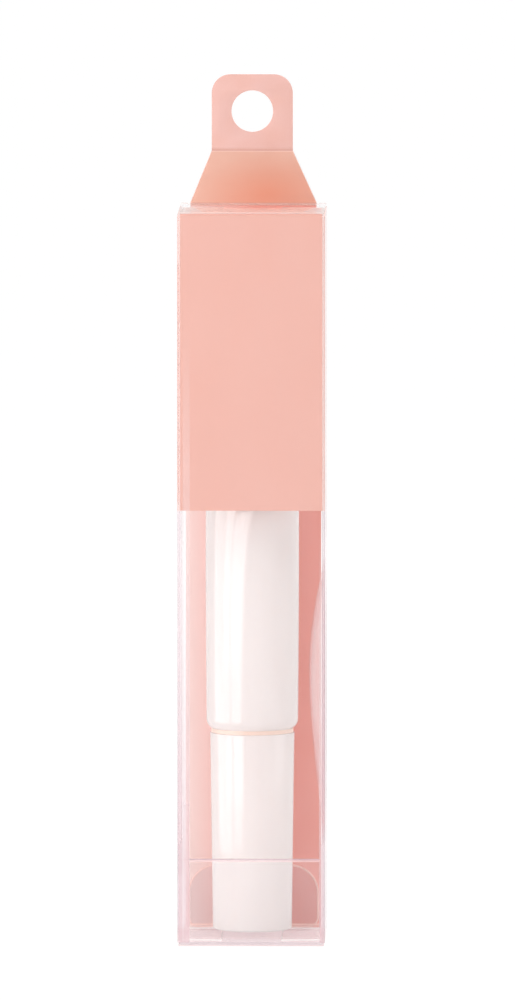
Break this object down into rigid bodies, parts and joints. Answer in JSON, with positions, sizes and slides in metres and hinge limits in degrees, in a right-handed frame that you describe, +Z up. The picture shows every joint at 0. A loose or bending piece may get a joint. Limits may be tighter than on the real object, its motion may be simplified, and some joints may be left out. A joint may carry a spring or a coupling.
{
  "type": "cuticle oil tube in hanging carton",
  "caption": "Soft white tube with a long cap and a brush tip, standing in a clear folded carton with a pink card, tuck lids and a round-holed hanger tab.",
  "frame": {"origin": "middle of the carton's underside, on the surface that it stands on", "axes": "+Z up towards the hanger, -Y out of the printed front, +X to the right as seen from the front"},
  "size_m": [0.026, 0.026, 0.1531],
  "materials": {
    "clear_sheet": "clear glossy sheet, cut edges light",
    "pink_print": "pink ink behind clear sheet, satin",
    "pink_card": "pink coated card, satin",
    "white_plastic": "white, soft gloss",
    "natural_plastic": "unpigmented, satin",
    "brush_nylon": "fine pale bristles",
    "oil": "clear warm oil"
  },
  "bodies": {
    "carton": {"carton_sleeve": "clear_sheet", "front_print_film": "pink_print", "bottom_dust_flap_left": "clear_sheet", "bottom_dust_flap_right": "clear_sheet", "back_card": "pink_card", "tube_rest": "clear_sheet"},
    "bottom_lid": {"bottom_lid": "clear_sheet"},
    "bottom_tuck": {"bottom_tuck_flap": "clear_sheet"},
    "top_lid": {"top_lid": "clear_sheet"},
    "top_tuck": {"top_tuck_flap": "clear_sheet"},
    "dust_flap_left": {"top_dust_flap_left": "clear_sheet"},
    "dust_flap_right": {"top_dust_flap_right": "clear_sheet"},
    "neck": {"hanger_neck": "pink_card"},
    "tab": {"hanger_tab": "pink_card"},
    "tube": {"tube_sleeve": "white_plastic", "tube_shoulder": "natural_plastic", "brush_holder": "natural_plastic", "brush_tuft": "brush_nylon", "oil_fill": "oil"},
    "cap": {"cap_shell": "white_plastic", "cap_liner": "natural_plastic"}
  },
  "joints": [
    {"name": "bottom_lid_hinge", "type": "hinge", "parent": "carton", "child": "bottom_lid", "pos_m": [0, -0.01285, 0.00015], "axis": [-1, 0, 0], "range_deg": [0, 105]},
    {"name": "bottom_tuck_crease", "type": "hinge", "parent": "bottom_lid", "child": "bottom_tuck", "pos_m": [0, 0.011, 0.00015], "axis": [1, 0, 0], "range_deg": [0, 53]},
    {"name": "top_lid_hinge", "type": "hinge", "parent": "carton", "child": "top_lid", "pos_m": [0, 0.01285, 0.12935], "axis": [-1, 0, 0], "range_deg": [0, 105]},
    {"name": "top_tuck_crease", "type": "hinge", "parent": "top_lid", "child": "top_tuck", "pos_m": [0, -0.0112, 0.12935], "axis": [1, 0, 0], "range_deg": [0, 53]},
    {"name": "neck_crease", "type": "hinge", "parent": "carton", "child": "neck", "pos_m": [0, 0.01225, 0.12935], "axis": [-1, 0, 0], "range_deg": [0, 106]},
    {"name": "tab_crease", "type": "hinge", "parent": "neck", "child": "tab", "pos_m": [0, -0.00075, 0.13965], "axis": [-1, 0, 0], "range_deg": [-70, 70], "stiffness_Nm_per_rad": 0.0005},
    {"name": "dust_flap_left_crease", "type": "hinge", "parent": "carton", "child": "dust_flap_left", "pos_m": [-0.0124, 0, 0.12875], "axis": [0, 1, 0], "range_deg": [0, 78], "stiffness_Nm_per_rad": 0.0001},
    {"name": "dust_flap_right_crease", "type": "hinge", "parent": "carton", "child": "dust_flap_right", "pos_m": [0.0124, 0, 0.12875], "axis": [0, -1, 0], "range_deg": [0, 78], "stiffness_Nm_per_rad": 0.0001},
    {"name": "tube_lift", "type": "slide", "parent": "carton", "child": "tube", "axis": [0, 0, 1], "range_m": [0, 0.0242]},
    {"name": "cap_pull", "type": "slide", "parent": "tube", "child": "cap", "axis": [0, 0, -1], "range_m": [0, 0.024]}
  ],
  "couplings": [
    {"joint": "bottom_tuck_crease", "follows": "bottom_lid_hinge", "ratio": 0.5},
    {"joint": "top_tuck_crease", "follows": "top_lid_hinge", "ratio": 0.5},
    {"joint": "neck_crease", "follows": "top_lid_hinge", "ratio": 1},
    {"joint": "tube_lift", "follows": "cap_pull", "ratio": 1}
  ]
}
